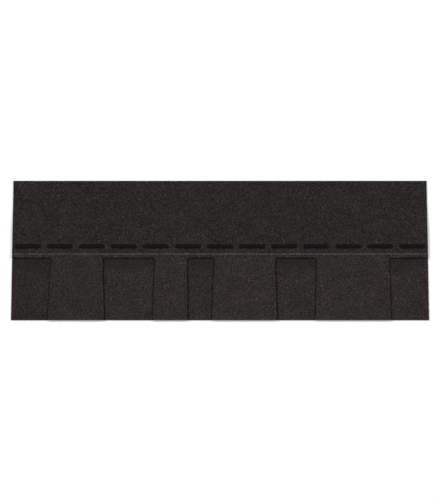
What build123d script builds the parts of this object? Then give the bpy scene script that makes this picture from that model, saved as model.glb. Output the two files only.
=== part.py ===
from build123d import *
import os

# Laminated asphalt shingle, one roofing unit, lying weather side up on a level floor.
# A toothed sheet is glued over a plain backing strip, so that the teeth stand one sheet
# above the strip that shows between them. Past the strip the sheet drapes to the floor.
# X runs along the shingle, Y up the roof from the butt edge, Z out of the weather side.
# The origin is on the floor below the middle of the outline. Sizes are in millimetres.

# Outline: a shingle is two exposures high, plus the headlap that three courses share.
shingle_length = 1000.0
exposure = 143.0
headlap = 51.0

# Toothed sheet
sheet_thickness = 2.7
cut_cover = 6.0  # top end of each cut, hidden under the next course
root_radius = 2.5
tooth_flare = 8.0
# Each tooth: its left and right side half way up, as shares of the length from the left
# end, then how far each side leans out towards the butt edge, as shares of the flare.
tooth_shares = (
    (0.091, 0.221, 1.00, 0.70),
    (0.341, 0.422, 0.60, 0.30),
    (0.483, 0.635, 0.80, 0.60),
    (0.730, 0.908, 0.55, 0.45),
)
landing_share = 0.3  # part of the draped stretch that lies flat on the floor

# Backing strip
backing_thickness = 2.5
bond_height = 19.0  # stretch above the cuts where both layers are whole

# Laminating adhesive: one band above the cuts, and two under each tooth
adhesive_thickness = 0.3
bond_inset = 3.0
tooth_inset = 6.0
tooth_band_height = 24.0
tooth_band_shares = (0.22, 0.66)  # middle of each band, up the cut

# Sealant strip: a row of raised dashes that grip the next course
dash_length = 62.0
dash_width = 10.0
dash_height = 0.9
dash_draft = 40.0  # slope of a dash's sides, in degrees from upright
dash_gap = 15.0
dash_margin = 4.0  # above the backing strip's top edge, and in from the shingle's ends

# Release film on the back, where the next shingle of a stack has its sealant
film_width = 30.0
film_thickness = 0.05
film_margin = 3.0

# Cuts run past what they cut by this much.
overrun = 5.0

# Places along X and Y
shingle_height = 2 * exposure + headlap
cut_depth = exposure + cut_cover
backing_height = cut_depth + bond_height
left_end = -shingle_length / 2
butt_edge = -shingle_height / 2
top_edge = shingle_height / 2
cut_top = butt_edge + cut_depth
backing_top = butt_edge + backing_height
level_end = backing_top + film_margin + film_width + film_margin
drape_end = level_end + (top_edge - level_end) * (1 - landing_share)

# Levels along Z
sheet_base = backing_thickness + adhesive_thickness
weather_face = sheet_base + sheet_thickness

dash_pitch = dash_length + dash_gap
dash_count = int((shingle_length - 2 * dash_margin + dash_gap) // dash_pitch)


def tooth_sides(tooth, height):
    """X of a tooth's left and right side at a height above the butt edge."""
    left_share, right_share, left_lean_share, right_lean_share = tooth
    lean = tooth_flare * (1 / 2 - height / cut_depth)
    left = left_end + left_share * shingle_length - left_lean_share * lean
    right = left_end + right_share * shingle_length + right_lean_share * lean
    return left, right


def tooth_slice(tooth, low, high, inset=0):
    """Corners of the stretch of a tooth between two heights, drawn in from its sides."""
    low_left, low_right = tooth_sides(tooth, low)
    high_left, high_right = tooth_sides(tooth, high)
    return (
        (low_left + inset, butt_edge + low),
        (low_right - inset, butt_edge + low),
        (high_right - inset, butt_edge + high),
        (high_left + inset, butt_edge + high),
    )


# Toothed sheet: its draped section, drawn from the side, runs the length of the shingle.
# The fall to the floor is two equal arcs, level at both ends.
with BuildPart() as toothed_sheet:
    with BuildSketch(Plane.YZ.offset(left_end)):
        with BuildLine():
            level = Line((butt_edge, sheet_base), (level_end, sheet_base))
            halfway = ((level_end + drape_end) / 2, sheet_base / 2)
            crest = TangentArc(level @ 1, halfway, tangent=level % 1)
            foot = TangentArc(halfway, (drape_end, 0), tangent=crest % 1)
            Line(foot @ 1, (top_edge, 0))
            offset(amount=sheet_thickness, side=Side.LEFT)
        make_face()
    extrude(amount=shingle_length)
    with BuildSketch() as cuts:
        with Locations((left_end - overrun, cut_top)):
            Rectangle(
                shingle_length + 2 * overrun,
                cut_depth + overrun,
                align=(Align.MIN, Align.MAX),
            )
        for tooth in tooth_shares:
            Polygon(
                tooth_slice(tooth, -overrun, cut_depth + overrun),
                align=None,
                mode=Mode.SUBTRACT,
            )
        root_corners = cuts.vertices().group_by(Axis.Y)[-1].sort_by(Axis.X)[1:-1]
        fillet(root_corners, radius=root_radius)
    extrude(amount=weather_face + overrun, mode=Mode.SUBTRACT)

# Backing strip: plain, as long as the shingle, flush with the teeth at the butt edge.
with BuildPart() as backing_strip:
    with BuildSketch():
        with Locations((0, butt_edge)):
            Rectangle(shingle_length, backing_height, align=(Align.CENTER, Align.MIN))
    extrude(amount=backing_thickness)

# Laminating adhesive: flat bands between the strip and the sheet.
with BuildPart() as laminating_adhesive:
    with BuildSketch(Plane.XY.offset(backing_thickness)):
        with Locations((0, (cut_top + backing_top) / 2)):
            Rectangle(shingle_length - 2 * bond_inset, bond_height - 2 * bond_inset)
        for tooth in tooth_shares:
            for band_share in tooth_band_shares:
                low = band_share * cut_depth - tooth_band_height / 2
                high = low + tooth_band_height
                Polygon(tooth_slice(tooth, low, high, tooth_inset), align=None)
    extrude(amount=adhesive_thickness)

# Sealant strip: low round-ended dashes with sloping sides, in one row along the shingle.
with BuildPart() as sealant_strip:
    with BuildSketch(Plane.XY.offset(weather_face)):
        with Locations((0, backing_top + dash_margin + dash_width / 2)):
            with GridLocations(dash_pitch, 0, dash_count, 1):
                SlotOverall(dash_length, dash_width)
    extrude(amount=dash_height, taper=dash_draft)

# Release film: a thin strip on the underside of the sheet, just past the backing strip.
with BuildPart() as release_film:
    with BuildSketch(Plane.XY.offset(sheet_base)):
        with Locations((0, backing_top + film_margin)):
            Rectangle(shingle_length, film_width, align=(Align.CENTER, Align.MIN))
    extrude(amount=-film_thickness)

toothed_sheet.part.label = "toothed_sheet"
backing_strip.part.label = "backing_strip"
laminating_adhesive.part.label = "laminating_adhesive"
sealant_strip.part.label = "sealant_strip"
release_film.part.label = "release_film"

os.makedirs("parts", exist_ok=True)
for piece in (toothed_sheet, backing_strip, laminating_adhesive, sealant_strip, release_film):
    export_step(piece.part, f"parts/{piece.part.label}.step")
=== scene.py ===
import math

import bmesh
import bpy
import numpy as np
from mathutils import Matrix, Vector, noise


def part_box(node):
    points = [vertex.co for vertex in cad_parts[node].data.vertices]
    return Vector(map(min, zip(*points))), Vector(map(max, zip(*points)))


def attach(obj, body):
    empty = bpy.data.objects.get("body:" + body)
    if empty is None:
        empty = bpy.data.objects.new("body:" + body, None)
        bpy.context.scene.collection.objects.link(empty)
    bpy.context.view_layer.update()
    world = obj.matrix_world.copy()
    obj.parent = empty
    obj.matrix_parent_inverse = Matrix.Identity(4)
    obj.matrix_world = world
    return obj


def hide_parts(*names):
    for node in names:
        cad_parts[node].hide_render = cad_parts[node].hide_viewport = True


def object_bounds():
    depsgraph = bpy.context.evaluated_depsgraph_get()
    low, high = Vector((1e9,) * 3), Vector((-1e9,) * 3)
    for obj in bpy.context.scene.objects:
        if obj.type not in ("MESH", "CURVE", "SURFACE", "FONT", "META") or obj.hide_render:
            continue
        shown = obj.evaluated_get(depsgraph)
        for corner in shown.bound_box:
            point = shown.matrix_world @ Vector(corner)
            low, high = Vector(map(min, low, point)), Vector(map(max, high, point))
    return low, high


# One laminated asphalt shingle, weather side up on a white floor. Each sheet is a copy of its CAD solid
# with ragged cuts, and a bed of asphalt over which crushed granules are scattered. X runs along the
# shingle, Y up the roof from the butt edge, Z out of the weather side. Lengths are in metres.

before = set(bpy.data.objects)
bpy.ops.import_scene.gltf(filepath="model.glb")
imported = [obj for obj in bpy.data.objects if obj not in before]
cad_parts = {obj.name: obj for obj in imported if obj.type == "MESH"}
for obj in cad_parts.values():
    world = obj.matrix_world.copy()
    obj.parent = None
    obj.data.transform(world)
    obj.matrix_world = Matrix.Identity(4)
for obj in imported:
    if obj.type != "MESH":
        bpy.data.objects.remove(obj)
cad_low, cad_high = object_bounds()

MM = 0.001
FAR = 1.0  # past every edge of the shingle
STEEP = 0.5  # a face is a side wall where its normal has less than this along Z

# Heights up the shingle from its butt edge
EXPOSURE = 143 * MM
CUT_COVER = 6 * MM
SHADOW_BAND = 34 * MM  # darker granules at the top of the strip between the teeth
NAIL_LINE_WIDTH = 4 * MM
HEADLAP_START = 8 * MM  # below the strip's top edge, where the covered granules begin

# Sheets
WALL_STEP = 2 * MM
WALL_LOOPS = 2
WELD = 0.001 * MM
FLAT_ANGLE = math.radians(0.05)
BED_DEPTH = 0.55 * MM  # of the asphalt under the tops of the granules
RAGGED_CUT = 0.35 * MM
RAGGED_PITCH = 5 * MM
RAGGED_SEED = 3

# Granules: crushed rock of 0.5 to 2 mm, drawn near the coarse end so that it shows
TOOTH_SPACING = 1.1 * MM
HEADLAP_SPACING = 1.5 * MM
TRIES = 5.0  # points tried for each spacing squared, before those too near to others go
CHIP_TO_SPACING = 1.1
CHIP_KINDS = ((3, 0.6), (4, 0.0), (5, 0.0), (3, 0.5), (4, 0.5), (4, 0.0))  # sides, width of the top
CHIP_KNOCK = ((-0.25, -0.25, -0.35), (0.25, 0.25, -0.05))  # least and most shift of a corner
CHIP_TURN = ((-0.3, -0.3, 0), (0.3, 0.3, math.tau))  # least and most, in radians
CHIP_STRETCH = ((0.8, 0.65, 0.5), (1.25, 1.05, 0.8))  # least and most
CUT_MARGIN = (0.3 * MM, 1.6 * MM)  # from a cut to the middle of the first granules that the knife left
CRUMBLE_PITCH = 6 * MM
CRUMBLE_RANGE = (0.25, 0.75)  # levels of the noise that give the least and the most margin
HEADLAP_SEED = 10  # a tooth's seed is its number, and the others count on from these
GAP_SEED = 20

# Granule mixes: shares by number, darkest first
CHARCOAL_MIX = ((0.18, "#282424"), (0.50, "#3b3635"), (0.24, "#453f3e"), (0.07, "#524b4a"), (0.01, "#6a6160"))
STRIP_MIX = ((0.20, "#272323"), (0.49, "#393433"), (0.23, "#433d3c"), (0.07, "#4f4948"), (0.01, "#675f5d"))
HEADLAP_MIX = ((0.22, "#2b2827"), (0.46, "#3a3635"), (0.23, "#433e3d"), (0.08, "#4d4746"), (0.01, "#605a58"))

# Teeth and the gaps between them, from left to right
TOOTH_MIDDLES = (-0.344, -0.119, 0.059, 0.319)  # along the shingle, in lengths
TOOTH_BATCHES = (0.44, 0.79, 0.82, 0.68)  # tone of each tooth's granules, 0 the darkest and 1 the palest
GAP_BATCHES = (0.26, 0.98, 0.9, 1.0, 0.83)
PLAIN_BATCH = 0.5
BATCH_DEPTH = 0.1  # how much darker or paler than the mix a batch can be
TOOTH_REACH = 1.2 * MM  # from the strip's asphalt up to the sheet that covers it
TOOTH_FOOT_SHADE = 1.5 * MM  # painted shade: a bare strip of dark asphalt along the foot of a tooth's side, standing for the shade in the step
SEAM_DEPTH = 2.8 * MM  # how far in under the sheet the strip's granules can be seen

# Sealant dashes
DASH_COUNT = 13
DASH_GAP = 15 * MM
BEAD_ARC_POINTS = 14
BEAD_LENGTH_POINTS = 60
BEAD_TIP = 0.0005  # keeps a bead's very end from closing to a point
BEAD_WANDER = 3 * MM
BEAD_WANDER_PITCH = 9 * MM
SEALANT_REACH = 0.6 * MM  # from the sheet's asphalt up to the sealant that covers it

# Light and floor
FLOOR_GAP = 0.2 * MM
FLOOR_REACH = 30
FLOOR_GLOW = 0.14
ROOM_LIGHT = 0.4
LAMP_ELEVATION = math.radians(38)
LAMP_SIDE_TURN = math.radians(30)  # up the roof from straight left or right
LAMP_SPREAD = math.radians(12)
LAMPS = (("left_lamp", -1, 0.65), ("right_lamp", 1, 0.35))  # name, side, share of the lamps' light

# Picture
PHOTO_SIZE = (440, 500)
PART_WIDTH_SHARE = 0.945  # of the picture's width
CAMERA_ELEVATION = math.radians(84)
LENS = 85
SENSOR = 36

sheet_low, sheet_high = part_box("toothed_sheet")
strip_low, strip_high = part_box("backing_strip")
dash_low, dash_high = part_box("sealant_strip")
length = sheet_high.x - sheet_low.x
butt_edge = sheet_low.y
cut_top = butt_edge + EXPOSURE + CUT_COVER
strip_top_edge = strip_high.y
nail_line = (cut_top + strip_top_edge) / 2


def linear(hex_colour):
    """An sRGB hex colour as linear red, green, blue and alpha."""
    parts = [int(hex_colour[i:i + 2], 16) / 255 for i in (1, 3, 5)]
    return [p / 12.92 if p <= 0.04045 else ((p + 0.055) / 1.055) ** 2.4 for p in parts] + [1.0]


def add(tree, kind, inputs=(), **settings):
    """Adds a node with its own settings. Each input is a value or the output that feeds it, and goes by
    name, or by number where several sockets of the node share a name."""
    node = tree.nodes.new(kind)
    for name, value in settings.items():
        setattr(node, name, value)
    for key, value in dict(inputs).items():
        if isinstance(value, bpy.types.NodeSocket):
            tree.links.new(value, node.inputs[key])
        else:
            node.inputs[key].default_value = value
    return node


def new_material(name):
    """A material with an empty tree."""
    material = bpy.data.materials.new(name)
    material.use_nodes = True
    material.node_tree.nodes.clear()
    return material, material.node_tree


def granule_finish(name, mix, paint=None):
    """Fired mineral granules: matt angular chips, each of one colour out of a sorted mix, with the cloudy
    patches that dust and uneven firing leave."""
    cloud_size = 45 * MM
    grain_size = 0.6 * MM  # within a chip, drawn coarser than the rock's own so that it shows
    material, tree = new_material(name)
    tone = add(tree, "ShaderNodeAttribute", attribute_name="tone").outputs["Fac"]
    ramp = add(tree, "ShaderNodeValToRGB", {"Fac": tone})
    ramp.color_ramp.interpolation = "CONSTANT"
    stops = ramp.color_ramp.elements
    ready = len(stops)
    start = 0.0
    for number, (share, colour) in enumerate(mix):
        stop = stops[number] if number < ready else stops.new(start)
        stop.position = start
        stop.color = linear(colour)
        start += share
    place = add(tree, "ShaderNodeTexCoord").outputs["Object"]
    clouds = add(tree, "ShaderNodeTexNoise", {
        "Vector": place, "Scale": 1 / cloud_size, "Detail": 3.0}).outputs["Fac"]
    grain = add(tree, "ShaderNodeTexNoise", {
        "Vector": place, "Scale": 1 / grain_size, "Detail": 2.0}).outputs["Fac"]
    both = add(tree, "ShaderNodeMath", {0: clouds, 1: grain}, operation="ADD").outputs[0]
    dust = add(tree, "ShaderNodeMapRange", {
        "Value": both, "From Min": 0.6, "From Max": 1.4, "To Min": 0.8, "To Max": 1.2}).outputs[0]
    colour = add(tree, "ShaderNodeVectorMath", {
        0: ramp.outputs["Color"], "Scale": dust}, operation="SCALE").outputs[0]
    batch = add(tree, "ShaderNodeAttribute", attribute_name="batch").outputs["Fac"]
    shade = add(tree, "ShaderNodeMapRange", {
        "Value": batch, "To Min": 1 - BATCH_DEPTH, "To Max": 1 + BATCH_DEPTH}).outputs[0]
    colour = add(tree, "ShaderNodeVectorMath", {0: colour, "Scale": shade}, operation="SCALE").outputs[0]
    if paint:
        colour = paint(tree, place, colour)
    dull = add(tree, "ShaderNodeMapRange", {"Value": grain, "To Min": 0.7, "To Max": 1.0}).outputs[0]
    bump = add(tree, "ShaderNodeBump", {
        "Height": grain, "Strength": 0.5, "Distance": 0.15 * MM}).outputs["Normal"]
    shader = add(tree, "ShaderNodeBsdfPrincipled", {
        "Base Color": colour, "Roughness": dull, "Normal": bump, "Specular IOR Level": 0.06})
    add(tree, "ShaderNodeOutputMaterial", {"Surface": shader.outputs["BSDF"]})
    return material


def shadow_band(tree, place, colour):
    """Turns to one dark granule near the top of the strip, with a soft ragged lower edge."""
    rag_size = 12 * MM
    rag_depth = 14 * MM
    dark_granule = linear("#312d2c")
    up = add(tree, "ShaderNodeSeparateXYZ", {0: place}).outputs["Y"]
    rag = add(tree, "ShaderNodeTexNoise", {
        "Vector": place, "Scale": 1 / rag_size, "Detail": 2.0}).outputs["Fac"]
    edge = add(tree, "ShaderNodeMath", {0: rag, 1: rag_depth, 2: up}, operation="MULTIPLY_ADD").outputs[0]
    fade = add(tree, "ShaderNodeMapRange", {
        "Value": edge, "From Min": cut_top - SHADOW_BAND, "From Max": cut_top, "To Max": 0.75},
        interpolation_type="SMOOTHSTEP").outputs[0]
    return add(tree, "ShaderNodeMix", {0: fade, 6: colour, 7: dark_granule}, data_type="RGBA").outputs[2]


def headlap_paint(tree, place, colour):
    """Blacker granules above the nail line, and the line itself as worn pale paint."""
    rag_size = 9 * MM
    rag_depth = 9 * MM
    fade_start = strip_top_edge - HEADLAP_START + 3 * MM
    fade_end = strip_top_edge - HEADLAP_START + 7 * MM
    worn_size = 3 * MM
    paint_colour = linear("#6a6661")
    up = add(tree, "ShaderNodeSeparateXYZ", {0: place}).outputs["Y"]
    rag = add(tree, "ShaderNodeTexNoise", {
        "Vector": place, "Scale": 1 / rag_size, "Detail": 3.0}).outputs["Fac"]
    edge = add(tree, "ShaderNodeMath", {0: rag, 1: rag_depth, 2: up}, operation="MULTIPLY_ADD").outputs[0]
    fade = add(tree, "ShaderNodeMapRange", {
        "Value": edge, "From Min": fade_start, "From Max": fade_end,
        "To Min": 1.0, "To Max": 0.86}).outputs[0]
    darker = add(tree, "ShaderNodeVectorMath", {0: colour, "Scale": fade}, operation="SCALE").outputs[0]
    off_line = add(tree, "ShaderNodeMath", {0: up, 1: nail_line}, operation="SUBTRACT").outputs[0]
    distance = add(tree, "ShaderNodeMath", {0: off_line}, operation="ABSOLUTE").outputs[0]
    worn = add(tree, "ShaderNodeTexNoise", {
        "Vector": place, "Scale": 1 / worn_size, "Detail": 3.0}).outputs["Fac"]
    reach = add(tree, "ShaderNodeMath", {0: worn, 1: NAIL_LINE_WIDTH}, operation="MULTIPLY").outputs[0]
    cover = add(tree, "ShaderNodeMapRange", {
        "Value": distance, "From Min": reach, "From Max": 0.0, "To Min": 0.0, "To Max": 0.9}).outputs[0]
    return add(tree, "ShaderNodeMix", {0: cover, 6: darker, 7: paint_colour}, data_type="RGBA").outputs[2]


def asphalt_finish():
    """Oxidised asphalt with stone filler: brown-black and dull, with grey specks where filler shows.
    Half way through a cut edge, broken brown lines are the torn fibres of the glass mat."""
    lump_size = 0.8 * MM
    speck_size = 0.7 * MM  # drawn coarser than real filler so that it shows
    strand_size = 2.5 * MM
    mat_middle, mat_reach = 0.5, 0.08  # up the thickness
    dark, pale = linear("#0b0909"), linear("#1a1615")
    filler, glass = linear("#38332f"), linear("#48423c")
    material, tree = new_material("filled oxidised asphalt")
    place = add(tree, "ShaderNodeTexCoord").outputs["Object"]
    lumps = add(tree, "ShaderNodeTexNoise", {
        "Vector": place, "Scale": 1 / lump_size, "Detail": 4.0}).outputs["Fac"]
    colour = add(tree, "ShaderNodeMix", {0: lumps, 6: dark, 7: pale}, data_type="RGBA").outputs[2]
    specks = add(tree, "ShaderNodeTexVoronoi", {"Vector": place, "Scale": 1 / speck_size}).outputs
    chance = add(tree, "ShaderNodeSeparateColor", {0: specks["Color"]}).outputs[0]
    inside = add(tree, "ShaderNodeMath", {0: chance, 1: specks["Distance"]}, operation="SUBTRACT").outputs[0]
    is_speck = add(tree, "ShaderNodeMapRange", {
        "Value": inside, "From Min": 0.5, "From Max": 0.6}).outputs[0]
    colour = add(tree, "ShaderNodeMix", {0: is_speck, 6: colour, 7: filler}, data_type="RGBA").outputs[2]
    depth = add(tree, "ShaderNodeAttribute", attribute_name="depth").outputs["Fac"]
    in_mat = add(tree, "ShaderNodeMath", {0: depth, 1: mat_middle, 2: mat_reach},
                 operation="COMPARE").outputs[0]
    strands = add(tree, "ShaderNodeTexNoise", {
        "Vector": place, "Scale": 1 / strand_size, "Detail": 5.0}).outputs["Fac"]
    torn = add(tree, "ShaderNodeMapRange", {"Value": strands, "From Min": 0.48, "From Max": 0.6}).outputs[0]
    fibre = add(tree, "ShaderNodeMath", {0: in_mat, 1: torn}, operation="MULTIPLY").outputs[0]
    colour = add(tree, "ShaderNodeMix", {0: fibre, 6: colour, 7: glass}, data_type="RGBA").outputs[2]
    dull = add(tree, "ShaderNodeMapRange", {"Value": lumps, "To Min": 0.65, "To Max": 0.95}).outputs[0]
    bump = add(tree, "ShaderNodeBump", {
        "Height": lumps, "Strength": 0.8, "Distance": 0.3 * MM}).outputs["Normal"]
    shader = add(tree, "ShaderNodeBsdfPrincipled", {
        "Base Color": colour, "Roughness": dull, "Normal": bump, "Specular IOR Level": 0.08})
    add(tree, "ShaderNodeOutputMaterial", {"Surface": shader.outputs["BSDF"]})
    return material


def dusted_back_finish():
    """Back of the sheet: asphalt dusted with fine sand so that stacked sheets don't stick. It looks grey,
    dull and gritty, with thin patches where the asphalt shows through."""
    sand_size = 0.9 * MM  # drawn coarser than real sand so that it shows
    patch_size = 30 * MM
    asphalt_colour, sand_colour = linear("#1d1a18"), linear("#6f6860")
    material, tree = new_material("sand-dusted asphalt back")
    place = add(tree, "ShaderNodeTexCoord").outputs["Object"]
    sand = add(tree, "ShaderNodeTexVoronoi", {"Vector": place, "Scale": 1 / sand_size}).outputs
    patches = add(tree, "ShaderNodeTexNoise", {
        "Vector": place, "Scale": 1 / patch_size, "Detail": 4.0}).outputs["Fac"]
    speck = add(tree, "ShaderNodeSeparateColor", {0: sand["Color"]}).outputs
    amount = add(tree, "ShaderNodeMath", {0: speck[0], 1: patches}, operation="MULTIPLY").outputs[0]
    colour = add(tree, "ShaderNodeMix", {0: amount, 6: asphalt_colour, 7: sand_colour},
                 data_type="RGBA").outputs[2]
    dull = add(tree, "ShaderNodeMapRange", {"Value": speck[1], "To Min": 0.7, "To Max": 1.0}).outputs[0]
    bump = add(tree, "ShaderNodeBump", {
        "Height": sand["Distance"], "Strength": 0.5, "Distance": 0.2 * MM}, invert=True).outputs["Normal"]
    shader = add(tree, "ShaderNodeBsdfPrincipled", {
        "Base Color": colour, "Roughness": dull, "Normal": bump, "Specular IOR Level": 0.2})
    add(tree, "ShaderNodeOutputMaterial", {"Surface": shader.outputs["BSDF"]})
    return material


def bitumen_finish(name, dark, pale, roughness):
    """Tacky polymer bitumen: black with a soft shine, puckered as it cooled and dulled by settled dust."""
    dust_size = 4 * MM
    pucker_size = 2 * MM
    material, tree = new_material(name)
    place = add(tree, "ShaderNodeTexCoord").outputs["Object"]
    dust = add(tree, "ShaderNodeTexNoise", {
        "Vector": place, "Scale": 1 / dust_size, "Detail": 4.0}).outputs["Fac"]
    colour = add(tree, "ShaderNodeMix", {0: dust, 6: linear(dark), 7: linear(pale)},
                 data_type="RGBA").outputs[2]
    gloss = add(tree, "ShaderNodeMapRange", {
        "Value": dust, "From Min": 0.3, "From Max": 0.7,
        "To Min": roughness - 0.1, "To Max": roughness + 0.2}).outputs[0]
    puckers = add(tree, "ShaderNodeTexNoise", {
        "Vector": place, "Scale": 1 / pucker_size, "Detail": 2.0}).outputs["Fac"]
    bump = add(tree, "ShaderNodeBump", {
        "Height": puckers, "Strength": 0.5, "Distance": 0.3 * MM}).outputs["Normal"]
    shader = add(tree, "ShaderNodeBsdfPrincipled", {
        "Base Color": colour, "Roughness": gloss, "Normal": bump, "Specular IOR Level": 0.035})
    add(tree, "ShaderNodeOutputMaterial", {"Surface": shader.outputs["BSDF"]})
    return material


def film_finish():
    """Siliconised polyester tape: pale and milky over the dark back, with fine lengthwise drawing marks."""
    mark_length, mark_width = 90 * MM, 1.5 * MM
    cockle_size = 18 * MM
    thin, milky = linear("#8f918f"), linear("#b9bab7")
    material, tree = new_material("siliconised polyester film")
    place = add(tree, "ShaderNodeTexCoord").outputs["Object"]
    along = add(tree, "ShaderNodeMapping", {
        "Vector": place, "Scale": (1 / mark_length, 1 / mark_width, 1)}).outputs[0]
    drawn = add(tree, "ShaderNodeTexNoise", {"Vector": along, "Scale": 1.0, "Detail": 3.0}).outputs["Fac"]
    cockle = add(tree, "ShaderNodeTexNoise", {
        "Vector": place, "Scale": 1 / cockle_size, "Detail": 2.0}).outputs["Fac"]
    milk = add(tree, "ShaderNodeMix", {0: 0.3, 2: cockle, 3: drawn}).outputs[0]
    milk = add(tree, "ShaderNodeMapRange", {"Value": milk, "From Min": 0.35, "From Max": 0.65}).outputs[0]
    colour = add(tree, "ShaderNodeMix", {0: milk, 6: thin, 7: milky}, data_type="RGBA").outputs[2]
    gloss = add(tree, "ShaderNodeMapRange", {"Value": drawn, "To Min": 0.15, "To Max": 0.5}).outputs[0]
    bump = add(tree, "ShaderNodeBump", {
        "Height": cockle, "Strength": 0.5, "Distance": 1.5 * MM}).outputs["Normal"]
    shader = add(tree, "ShaderNodeBsdfPrincipled", {"Base Color": colour, "Roughness": gloss, "Normal": bump})
    add(tree, "ShaderNodeOutputMaterial", {"Surface": shader.outputs["BSDF"]})
    return material


def placed(name, mesh):
    """A new object at the origin, with its place in its mesh."""
    piece = bpy.data.objects.new(name, mesh)
    bpy.context.scene.collection.objects.link(piece)
    return piece


def sliced_copy(node, rows=(), columns=()):
    """A CAD node's mesh, welded, cut along these rows and columns, its side walls cut finely."""
    low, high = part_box(node)
    bm = bmesh.new()
    bm.from_mesh(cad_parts[node].data)
    bmesh.ops.remove_doubles(bm, verts=bm.verts, dist=WELD)
    bmesh.ops.dissolve_limit(bm, angle_limit=FLAT_ANGLE, verts=bm.verts, edges=bm.edges)
    for axis, places in ((0, columns), (1, rows)):
        normal = Vector((axis == 0, axis == 1, 0))
        for place in places:
            bmesh.ops.bisect_plane(bm, geom=bm.verts[:] + bm.edges[:] + bm.faces[:], dist=WELD,
                                   plane_co=normal * place, plane_no=normal)
        count = round((high[axis] - low[axis]) / WALL_STEP)
        for number in range(1, count):
            place = low[axis] + (high[axis] - low[axis]) * number / count
            walls = [f for f in bm.faces if abs(f.normal.z) < STEEP]
            edges = dict.fromkeys(e for f in walls for e in f.edges)  # in the same order on each run
            verts = dict.fromkeys(v for e in edges for v in e.verts)
            bmesh.ops.bisect_plane(bm, geom=[*verts, *edges, *walls], dist=WELD,
                                   plane_co=normal * place, plane_no=normal)
    return bm


def sheet_body(name, node, rows=(), columns=()):
    """A sheet with ragged cuts, its weather face lowered to the asphalt that holds the granules."""
    bm = sliced_copy(node, rows, columns)
    low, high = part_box(node)
    # How far each point is up the thickness, 0 on the back and 1 on the weather face
    depth = bm.verts.layers.float.new("depth")
    for face in bm.faces:
        if face.normal.z > STEEP:
            for v in face.verts:
                v[depth] = 1.0
    upright = [e for e in bm.edges if e.verts[0][depth] != e.verts[1][depth]]
    bmesh.ops.subdivide_edges(bm, edges=upright, cuts=WALL_LOOPS, use_grid_fill=True)
    for v in bm.verts:
        shift = noise.noise_vector(v.co / RAGGED_PITCH) * RAGGED_CUT
        v.co.x = min(max(v.co.x + shift.x, low.x), high.x)
        v.co.y = min(max(v.co.y + shift.y, low.y), high.y)
        v.co.z -= BED_DEPTH * v[depth]
    bm.normal_update()
    for face in bm.faces:
        face.material_index = 1 if face.normal.z < -STEEP else 0
    mesh = bpy.data.meshes.new(name)
    bm.to_mesh(mesh)
    bm.free()
    mesh.materials.append(asphalt)
    mesh.materials.append(dusted_back)
    return placed(name, mesh)


def geometry_tree(name, sockets):
    """An empty Geometry Nodes tree with these named inputs, and what its input node gives."""
    tree = bpy.data.node_groups.new(name, "GeometryNodeTree")
    tree.interface.new_socket("Geometry", in_out="INPUT", socket_type="NodeSocketGeometry")
    for socket, kind in sockets.items():
        tree.interface.new_socket(socket, in_out="INPUT", socket_type="NodeSocket" + kind)
    tree.interface.new_socket("Geometry", in_out="OUTPUT", socket_type="NodeSocketGeometry")
    return tree, add(tree, "NodeGroupInput").outputs


def evaluated(name, mesh, tree, values):
    """A piece made by a tree from a mesh, turned into a plain mesh with no modifier."""
    piece = placed(name, mesh)
    modifier = piece.modifiers.new(tree.name, "NODES")
    modifier.node_group = tree
    for socket in tree.interface.items_tree:
        if socket.in_out == "INPUT" and socket.name in values:
            modifier[socket.identifier] = values[socket.name]
    graph = bpy.context.evaluated_depsgraph_get()
    made = bpy.data.meshes.new_from_object(piece.evaluated_get(graph),
                                           preserve_all_data_layers=True, depsgraph=graph)
    piece.modifiers.clear()
    piece.data = made
    made.name = name
    return piece


def weather_faces(tree, given, upward):
    """The faces of a sheet that look up, and of those the ones inside the zone."""
    place = add(tree, "GeometryNodeInputPosition").outputs[0]
    looks_up = add(tree, "FunctionNodeCompare", {0: upward, 1: STEEP}, operation="GREATER_THAN").outputs[0]
    bed = add(tree, "GeometryNodeSeparateGeometry", {
        "Geometry": given["Geometry"], "Selection": looks_up}, domain="FACE").outputs[0]
    past_low = add(tree, "FunctionNodeCompare", {4: place, 5: given["Zone Low"]},
                   data_type="VECTOR", mode="ELEMENT", operation="GREATER_EQUAL").outputs[0]
    before_high = add(tree, "FunctionNodeCompare", {4: place, 5: given["Zone High"]},
                      data_type="VECTOR", mode="ELEMENT", operation="LESS_THAN").outputs[0]
    within = add(tree, "FunctionNodeBooleanMath", {0: past_low, 1: before_high}, operation="AND").outputs[0]
    zone = add(tree, "GeometryNodeSeparateGeometry", {
        "Geometry": bed, "Selection": within}, domain="FACE").outputs[0]
    return bed, zone


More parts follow.
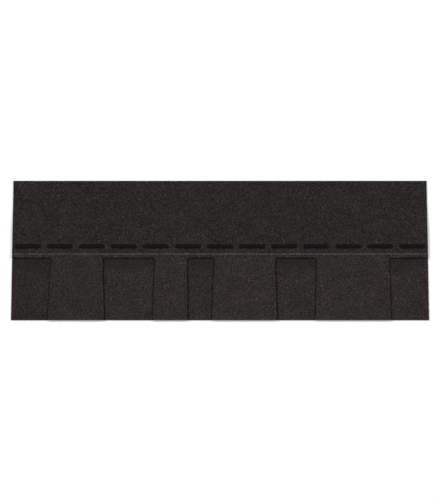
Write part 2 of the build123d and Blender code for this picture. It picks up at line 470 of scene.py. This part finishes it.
def bare_places(tree, given, bed, upward):
    """Where no chip is laid: along the cut edges; at the foot of the cover's sides, a bare dark strip that is
    painted shade from the step; and under the cover past the seam that can be seen into."""
    neighbours = add(tree, "GeometryNodeInputMeshEdgeNeighbors").outputs[0]
    is_rim = add(tree, "FunctionNodeCompare", {2: neighbours, 3: 1},
                 data_type="INT", operation="EQUAL").outputs[0]
    rim = add(tree, "GeometryNodeSeparateGeometry", {
        "Geometry": bed, "Selection": is_rim}, domain="EDGE").outputs[0]
    to_rim = add(tree, "GeometryNodeProximity", {0: rim}, target_element="EDGES").outputs["Distance"]
    crumble = add(tree, "ShaderNodeTexNoise", {"Scale": 1 / CRUMBLE_PITCH, "Detail": 3.0}).outputs["Fac"]
    margin = add(tree, "ShaderNodeMapRange", {
        "Value": crumble, "From Min": CRUMBLE_RANGE[0], "From Max": CRUMBLE_RANGE[1],
        "To Min": given["Least Margin"], "To Max": given["Most Margin"]}).outputs[0]
    at_cut = add(tree, "FunctionNodeCompare", {0: to_rim, 1: margin}, operation="LESS_THAN").outputs[0]
    cover = add(tree, "GeometryNodeObjectInfo", {"Object": given["Cover"]}).outputs["Geometry"]
    nearby = add(tree, "GeometryNodeProximity", {0: cover}, target_element="FACES").outputs
    close = add(tree, "FunctionNodeCompare", {0: nearby["Distance"], 1: given["Cover Reach"]},
                operation="LESS_THAN").outputs[0]
    under = add(tree, "FunctionNodeBooleanMath", {0: close, 1: nearby["Is Valid"]},
                operation="AND").outputs[0]
    level = add(tree, "ShaderNodeMath", {0: upward}, operation="ABSOLUTE").outputs[0]
    is_wall = add(tree, "FunctionNodeCompare", {0: level, 1: STEEP}, operation="LESS_THAN").outputs[0]
    walls = add(tree, "GeometryNodeSeparateGeometry", {
        "Geometry": cover, "Selection": is_wall}, domain="FACE").outputs[0]
    to_wall = add(tree, "GeometryNodeProximity", {0: walls}, target_element="FACES").outputs["Distance"]
    deep = add(tree, "FunctionNodeCompare", {0: to_wall, 1: given["Seam Depth"]},
               operation="GREATER_EQUAL").outputs[0]
    covered = add(tree, "FunctionNodeBooleanMath", {0: under, 1: deep}, operation="AND").outputs[0]
    # painted shade: the strip at the foot of the cover's side walls is left bare, dark asphalt standing for
    # the shade in the step
    in_painted_foot_shade = add(tree, "FunctionNodeCompare", {0: to_wall, 1: given["Painted Foot Shade"]},
                  operation="LESS_THAN").outputs[0]
    at_edge = add(tree, "FunctionNodeBooleanMath", {0: at_cut, 1: in_painted_foot_shade}, operation="OR").outputs[0]
    return add(tree, "FunctionNodeBooleanMath", {0: at_edge, 1: covered}, operation="OR").outputs[0]


def broken_chips(tree):
    """Blocks and points of three, four and five sides, each broken its own way and sunk in the asphalt."""
    chips = add(tree, "GeometryNodeJoinGeometry")
    for number, (sides, top) in enumerate(CHIP_KINDS):
        cone = add(tree, "GeometryNodeMeshCone", {
            "Vertices": sides, "Radius Top": top, "Radius Bottom": 1.0, "Depth": 1.0}).outputs["Mesh"]
        knock = add(tree, "FunctionNodeRandomValue", {0: CHIP_KNOCK[0], 1: CHIP_KNOCK[1], "Seed": number},
                    data_type="FLOAT_VECTOR").outputs[0]
        broken = add(tree, "GeometryNodeSetPosition", {"Geometry": cone, "Offset": knock}).outputs[0]
        chip = add(tree, "GeometryNodeGeometryToInstance", {0: broken}).outputs[0]
        tree.links.new(chip, chips.inputs[0])
    return chips.outputs[0]


def granule_tree():
    """Scatters angular chips over the weather faces of a sheet, inside a zone and clear of its cuts."""
    tree, given = geometry_tree("granule_scatter", {
        "Zone Low": "Vector", "Zone High": "Vector", "Spacing": "Float", "Chip Size": "Float",
        "Least Margin": "Float", "Most Margin": "Float", "Batch": "Float", "Seed": "Int", "Cover": "Object",
        "Cover Reach": "Float", "Painted Foot Shade": "Float", "Seam Depth": "Float", "Material": "Material"})
    seed = given["Seed"]
    normal = add(tree, "GeometryNodeInputNormal").outputs[0]
    upward = add(tree, "ShaderNodeSeparateXYZ", {0: normal}).outputs["Z"]
    bed, zone = weather_faces(tree, given, upward)
    crowding = add(tree, "ShaderNodeMath", {0: given["Spacing"], 1: -2.0}, operation="POWER").outputs[0]
    density = add(tree, "ShaderNodeMath", {0: crowding, 1: TRIES}, operation="MULTIPLY").outputs[0]
    scatter = add(tree, "GeometryNodeDistributePointsOnFaces", {
        "Mesh": zone, "Distance Min": given["Spacing"], "Density Max": density, "Seed": seed},
        distribute_method="POISSON").outputs
    points = add(tree, "GeometryNodeDeleteGeometry", {
        "Geometry": scatter["Points"], "Selection": bare_places(tree, given, bed, upward)},
        domain="POINT").outputs[0]
    chips = broken_chips(tree)
    which = add(tree, "FunctionNodeRandomValue", {4: 0, 5: len(CHIP_KINDS) - 1, "Seed": seed},
                data_type="INT").outputs[2]
    turn = add(tree, "FunctionNodeRandomValue", {0: CHIP_TURN[0], 1: CHIP_TURN[1], "Seed": seed},
               data_type="FLOAT_VECTOR").outputs[0]
    turned = add(tree, "FunctionNodeEulerToRotation", {0: turn}).outputs[0]
    tilt = add(tree, "FunctionNodeRotateRotation", {0: scatter["Rotation"], 1: turned},
               rotation_space="LOCAL").outputs[0]
    stretch = add(tree, "FunctionNodeRandomValue", {0: CHIP_STRETCH[0], 1: CHIP_STRETCH[1], "Seed": seed},
                  data_type="FLOAT_VECTOR").outputs[0]
    size = add(tree, "ShaderNodeVectorMath", {0: stretch, "Scale": given["Chip Size"]},
               operation="SCALE").outputs[0]
    laid = add(tree, "GeometryNodeInstanceOnPoints", {
        "Points": points, "Instance": chips, "Pick Instance": True, "Instance Index": which,
        "Rotation": tilt, "Scale": size}).outputs[0]
    tone = add(tree, "FunctionNodeRandomValue", {"Seed": seed}, data_type="FLOAT").outputs[1]
    toned = add(tree, "GeometryNodeStoreNamedAttribute", {
        "Geometry": laid, "Name": "tone", "Value": tone}, domain="INSTANCE").outputs[0]
    batched = add(tree, "GeometryNodeStoreNamedAttribute", {
        "Geometry": toned, "Name": "batch", "Value": given["Batch"]}, domain="INSTANCE").outputs[0]
    real = add(tree, "GeometryNodeRealizeInstances", {"Geometry": batched}).outputs[0]
    flat = add(tree, "GeometryNodeSetShadeSmooth", {"Geometry": real, "Shade Smooth": False}).outputs[0]
    finished = add(tree, "GeometryNodeSetMaterial", {
        "Geometry": flat, "Material": given["Material"]}).outputs[0]
    add(tree, "NodeGroupOutput", {0: finished})
    return tree


def bead_swell(tree, given):
    """Width of a bead along its length, as a share: round ends, a half circle over the last half width."""
    along = add(tree, "GeometryNodeSplineParameter").outputs["Length"]
    rest = add(tree, "ShaderNodeMath", {0: given["Length"], 1: along}, operation="SUBTRACT").outputs[0]
    nearest = add(tree, "ShaderNodeMath", {0: along, 1: rest}, operation="MINIMUM").outputs[0]
    radius = add(tree, "ShaderNodeMath", {0: given["Width"], 1: 0.5}, operation="MULTIPLY").outputs[0]
    inward = add(tree, "ShaderNodeMath", {0: nearest, 1: radius}, operation="DIVIDE",
                 use_clamp=True).outputs[0]
    from_end = add(tree, "ShaderNodeMath", {0: 1.0, 1: inward}, operation="SUBTRACT").outputs[0]
    square = add(tree, "ShaderNodeMath", {0: from_end, 1: from_end}, operation="MULTIPLY").outputs[0]
    left = add(tree, "ShaderNodeMath", {0: 1.0 + BEAD_TIP, 1: square}, operation="SUBTRACT").outputs[0]
    return add(tree, "ShaderNodeMath", {0: left, 1: 0.5}, operation="POWER").outputs[0]


def sealant_tree():
    """A row of poured dashes: domed beads with rounded, slightly uneven outlines."""
    tree, given = geometry_tree("sealant_row", {
        "Start": "Vector", "Pitch": "Float", "Count": "Int", "Length": "Float", "Width": "Float",
        "Height": "Float", "Material": "Material"})
    # Profile across the bead: a flattened half round with a flat foot
    arc = add(tree, "GeometryNodeCurveArc", {
        "Resolution": BEAD_ARC_POINTS, "Radius": 0.5, "Start Angle": math.pi,
        "Sweep Angle": math.pi}).outputs[0]
    closed = add(tree, "GeometryNodeSetSplineCyclic", {"Geometry": arc, "Cyclic": True}).outputs[0]
    twice = add(tree, "ShaderNodeMath", {0: given["Height"], 1: 2.0}, operation="MULTIPLY").outputs[0]
    across = add(tree, "ShaderNodeCombineXYZ", {0: given["Width"], 1: twice, 2: 1.0}).outputs[0]
    profile = add(tree, "GeometryNodeTransform", {"Geometry": closed, "Scale": across}).outputs[0]
    half = add(tree, "ShaderNodeMath", {0: given["Length"], 1: -0.5}, operation="MULTIPLY").outputs[0]
    start = add(tree, "ShaderNodeCombineXYZ", {0: half}).outputs[0]
    end = add(tree, "ShaderNodeVectorMath", {0: start, "Scale": -1.0}, operation="SCALE").outputs[0]
    line = add(tree, "GeometryNodeCurvePrimitiveLine", {"Start": start, "End": end}).outputs[0]
    fine = add(tree, "GeometryNodeResampleCurve", {"Curve": line, "Count": BEAD_LENGTH_POINTS}).outputs[0]
    bead = add(tree, "GeometryNodeCurveToMesh", {
        "Curve": fine, "Profile Curve": profile, "Scale": bead_swell(tree, given),
        "Fill Caps": True}).outputs[0]
    step = add(tree, "ShaderNodeCombineXYZ", {0: given["Pitch"]}).outputs[0]
    row = add(tree, "GeometryNodeMeshLine", {
        "Count": given["Count"], "Start Location": given["Start"], "Offset": step}, mode="OFFSET").outputs[0]
    dashes = add(tree, "GeometryNodeInstanceOnPoints", {"Points": row, "Instance": bead}).outputs[0]
    real = add(tree, "GeometryNodeRealizeInstances", {"Geometry": dashes}).outputs[0]
    wander = add(tree, "ShaderNodeTexNoise", {"Scale": 1 / BEAD_WANDER_PITCH, "Detail": 2.0}).outputs["Color"]
    centred = add(tree, "ShaderNodeVectorMath", {0: wander, 1: (0.5, 0.5, 0.5)},
                  operation="SUBTRACT").outputs[0]
    shift = add(tree, "ShaderNodeVectorMath", {0: centred, 1: (BEAD_WANDER, BEAD_WANDER, 0)},
                operation="MULTIPLY").outputs[0]
    uneven = add(tree, "GeometryNodeSetPosition", {"Geometry": real, "Offset": shift}).outputs[0]
    smooth = add(tree, "GeometryNodeSetShadeSmooth", {"Geometry": uneven}).outputs[0]
    finished = add(tree, "GeometryNodeSetMaterial", {
        "Geometry": smooth, "Material": given["Material"]}).outputs[0]
    add(tree, "NodeGroupOutput", {0: finished})
    return tree


def lay_granules(name, body, low, high, spacing, material, seed, batch=PLAIN_BATCH,
                 cover=None, reach=0.0, foot=0.0, seam=0.0):
    """Granules over one zone of a sheet, cut flush with the shingle's outline by the same knife."""
    piece = evaluated(name, body.data.copy(), granules, {
        "Zone Low": low, "Zone High": high, "Spacing": spacing, "Chip Size": spacing * CHIP_TO_SPACING,
        "Least Margin": CUT_MARGIN[0], "Most Margin": CUT_MARGIN[1], "Batch": batch, "Seed": seed,
        "Cover": cover, "Cover Reach": reach, "Painted Foot Shade": foot, "Seam Depth": seam, "Material": material})
    mesh = piece.data
    places = np.empty(len(mesh.vertices) * 3, np.float32)
    mesh.vertices.foreach_get("co", places)
    places = np.clip(places.reshape(-1, 3), cad_low, cad_high)
    mesh.vertices.foreach_set("co", places.ravel())
    # The bake's map: the granules as seen from above
    corners = np.empty(len(mesh.loops), np.int32)
    mesh.loops.foreach_get("vertex_index", corners)
    spread = (places[:, :2] - places[:, :2].min(0)) / np.ptp(places[:, :2], axis=0)
    layer = mesh.uv_layers.new(name="OFBake")
    layer.uv.foreach_set("vector", spread[corners].astype(np.float32).ravel())
    mesh.update()
    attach(piece, "root")


def seen_straight(tree):
    """1 where the camera, a reflection or a see-through surface looks, 0 for the light that is given off."""
    rays = add(tree, "ShaderNodeLightPath").outputs
    seen = add(tree, "ShaderNodeMath", {0: rays["Is Camera Ray"], 1: rays["Is Glossy Ray"]},
               operation="MAXIMUM").outputs[0]
    return add(tree, "ShaderNodeMath", {0: seen, 1: rays["Is Transmission Ray"]},
               operation="MAXIMUM").outputs[0]


noise.seed_set(RAGGED_SEED)

asphalt = asphalt_finish()
dusted_back = dusted_back_finish()
charcoal = granule_finish("charcoal ceramic granules", CHARCOAL_MIX)
strip_charcoal = granule_finish("charcoal granules with shadow band", STRIP_MIX, shadow_band)
headlap_charcoal = granule_finish("headlap slag granules", HEADLAP_MIX, headlap_paint)
granules = granule_tree()

# Toothed sheet
tooth_middles = [middle * length for middle in TOOTH_MIDDLES]
gap_middles = [(left + right) / 2 for left, right in zip(tooth_middles, tooth_middles[1:])]
sheet = sheet_body("toothed_sheet_body", "toothed_sheet", rows=(cut_top,), columns=gap_middles)
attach(sheet, "root")
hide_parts("toothed_sheet")

# Backing strip
strip = sheet_body("backing_strip_body", "backing_strip", columns=tooth_middles)
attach(strip, "root")
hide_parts("backing_strip")

# Sealant strip
dash_length = (dash_high.x - dash_low.x + DASH_GAP) / DASH_COUNT - DASH_GAP
sealant = evaluated("sealant_dashes", bpy.data.meshes.new("empty"), sealant_tree(), {
    "Start": (dash_low.x + dash_length / 2, (dash_low.y + dash_high.y) / 2, dash_low.z - BED_DEPTH),
    "Pitch": dash_length + DASH_GAP, "Count": DASH_COUNT, "Length": dash_length,
    "Width": dash_high.y - dash_low.y, "Height": dash_high.z - dash_low.z + BED_DEPTH,
    "Material": bitumen_finish("sealant bitumen", "#080707", "#161413", 0.5)})
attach(sealant, "root")
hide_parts("sealant_strip")

# Granules on the sheet, parted at the middle of each gap between teeth
sheet_parts = [sheet_low.x, *gap_middles, sheet_high.x]
for number, (left, right, batch) in enumerate(zip(sheet_parts, sheet_parts[1:], TOOTH_BATCHES), 1):
    lay_granules(f"tooth_granules_{number}", sheet,
                 (left, -FAR, -FAR), (right, cut_top, FAR), TOOTH_SPACING, charcoal, number, batch)
    lay_granules(f"headlap_granules_{number}", sheet,
                 (left, cut_top, -FAR), (right, FAR, FAR), HEADLAP_SPACING, headlap_charcoal,
                 HEADLAP_SEED + number, cover=sealant, reach=SEALANT_REACH)

# Granules on the strip, parted under the middle of each tooth
strip_parts = [strip_low.x, *tooth_middles, strip_high.x]
# The bare strip left at the foot of each tooth's side is painted shade from the step
for number, (left, right, batch) in enumerate(zip(strip_parts, strip_parts[1:], GAP_BATCHES), 1):
    lay_granules(f"gap_granules_{number}", strip,
                 (left, -FAR, -FAR), (right, FAR, FAR), TOOTH_SPACING, strip_charcoal,
                 GAP_SEED + number, batch, cover=sheet, reach=TOOTH_REACH, foot=TOOTH_FOOT_SHADE, seam=SEAM_DEPTH)

# Adhesive and film keep their own solids
for node, finish in (("laminating_adhesive", bitumen_finish("laminating bitumen", "#0a0908", "#191614", 0.5)),
                     ("release_film", film_finish())):
    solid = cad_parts[node]
    solid.data.materials.clear()
    solid.data.materials.append(finish)

# Floor: matt white paper that keeps the shingle's shadow
corners = [(x * FLOOR_REACH, y * FLOOR_REACH, -FLOOR_GAP) for x, y in ((-1, -1), (1, -1), (1, 1), (-1, 1))]
floor_mesh = bpy.data.meshes.new("floor")
floor_mesh.from_pydata(corners, [], [(0, 1, 2, 3)])
floor = placed("floor", floor_mesh)
material, tree = new_material("white paper floor")
glow = add(tree, "ShaderNodeMath", {0: seen_straight(tree), 1: FLOOR_GLOW}, operation="MULTIPLY").outputs[0]
shader = add(tree, "ShaderNodeBsdfPrincipled", {
    "Base Color": linear("#f2f2f2"), "Roughness": 0.9, "Specular IOR Level": 0.0,
    "Emission Color": (1, 1, 1, 1), "Emission Strength": glow})
add(tree, "ShaderNodeOutputMaterial", {"Surface": shader.outputs["BSDF"]})
floor_mesh.materials.append(material)

# Light: a plain white room and two soft lamps, left and right, a little up the roof
world = bpy.data.worlds.new("white room")
bpy.context.scene.world = world
world.use_nodes = True
tree = world.node_tree
tree.nodes.clear()
level = add(tree, "ShaderNodeMapRange", {
    "Value": seen_straight(tree), "To Min": ROOM_LIGHT, "To Max": 1.0}).outputs[0]
room = add(tree, "ShaderNodeBackground", {"Color": (1, 1, 1, 1), "Strength": level}).outputs[0]
add(tree, "ShaderNodeOutputWorld", {"Surface": room})
for name, side, share in LAMPS:
    lamp = bpy.data.lights.new(name, "SUN")
    lamp.energy = share * math.pi * (1 - ROOM_LIGHT) / math.sin(LAMP_ELEVATION)
    lamp.angle = LAMP_SPREAD
    holder = bpy.data.objects.new(name, lamp)
    toward_lamp = Vector((side * math.cos(LAMP_SIDE_TURN) * math.cos(LAMP_ELEVATION),
                          math.sin(LAMP_SIDE_TURN) * math.cos(LAMP_ELEVATION), math.sin(LAMP_ELEVATION)))
    holder.rotation_euler = toward_lamp.to_track_quat("Z", "Y").to_euler()
    bpy.context.scene.collection.objects.link(holder)

# Camera: almost square on to the weather side, the teeth at the bottom of the picture
camera = bpy.data.objects.new("camera", bpy.data.cameras.new("camera"))
bpy.context.scene.collection.objects.link(camera)
camera.data.lens = LENS
camera.data.sensor_width = SENSOR
distance = length * LENS / SENSOR * max(PHOTO_SIZE) / (PART_WIDTH_SHARE * PHOTO_SIZE[0])
toward = Vector((0, -math.cos(CAMERA_ELEVATION), math.sin(CAMERA_ELEVATION)))
camera.location = (cad_low + cad_high) / 2 + toward * distance
camera.rotation_euler = toward.to_track_quat("Z", "Y").to_euler()
bpy.context.scene.camera = camera
bpy.context.scene.view_settings.view_transform = "Standard"
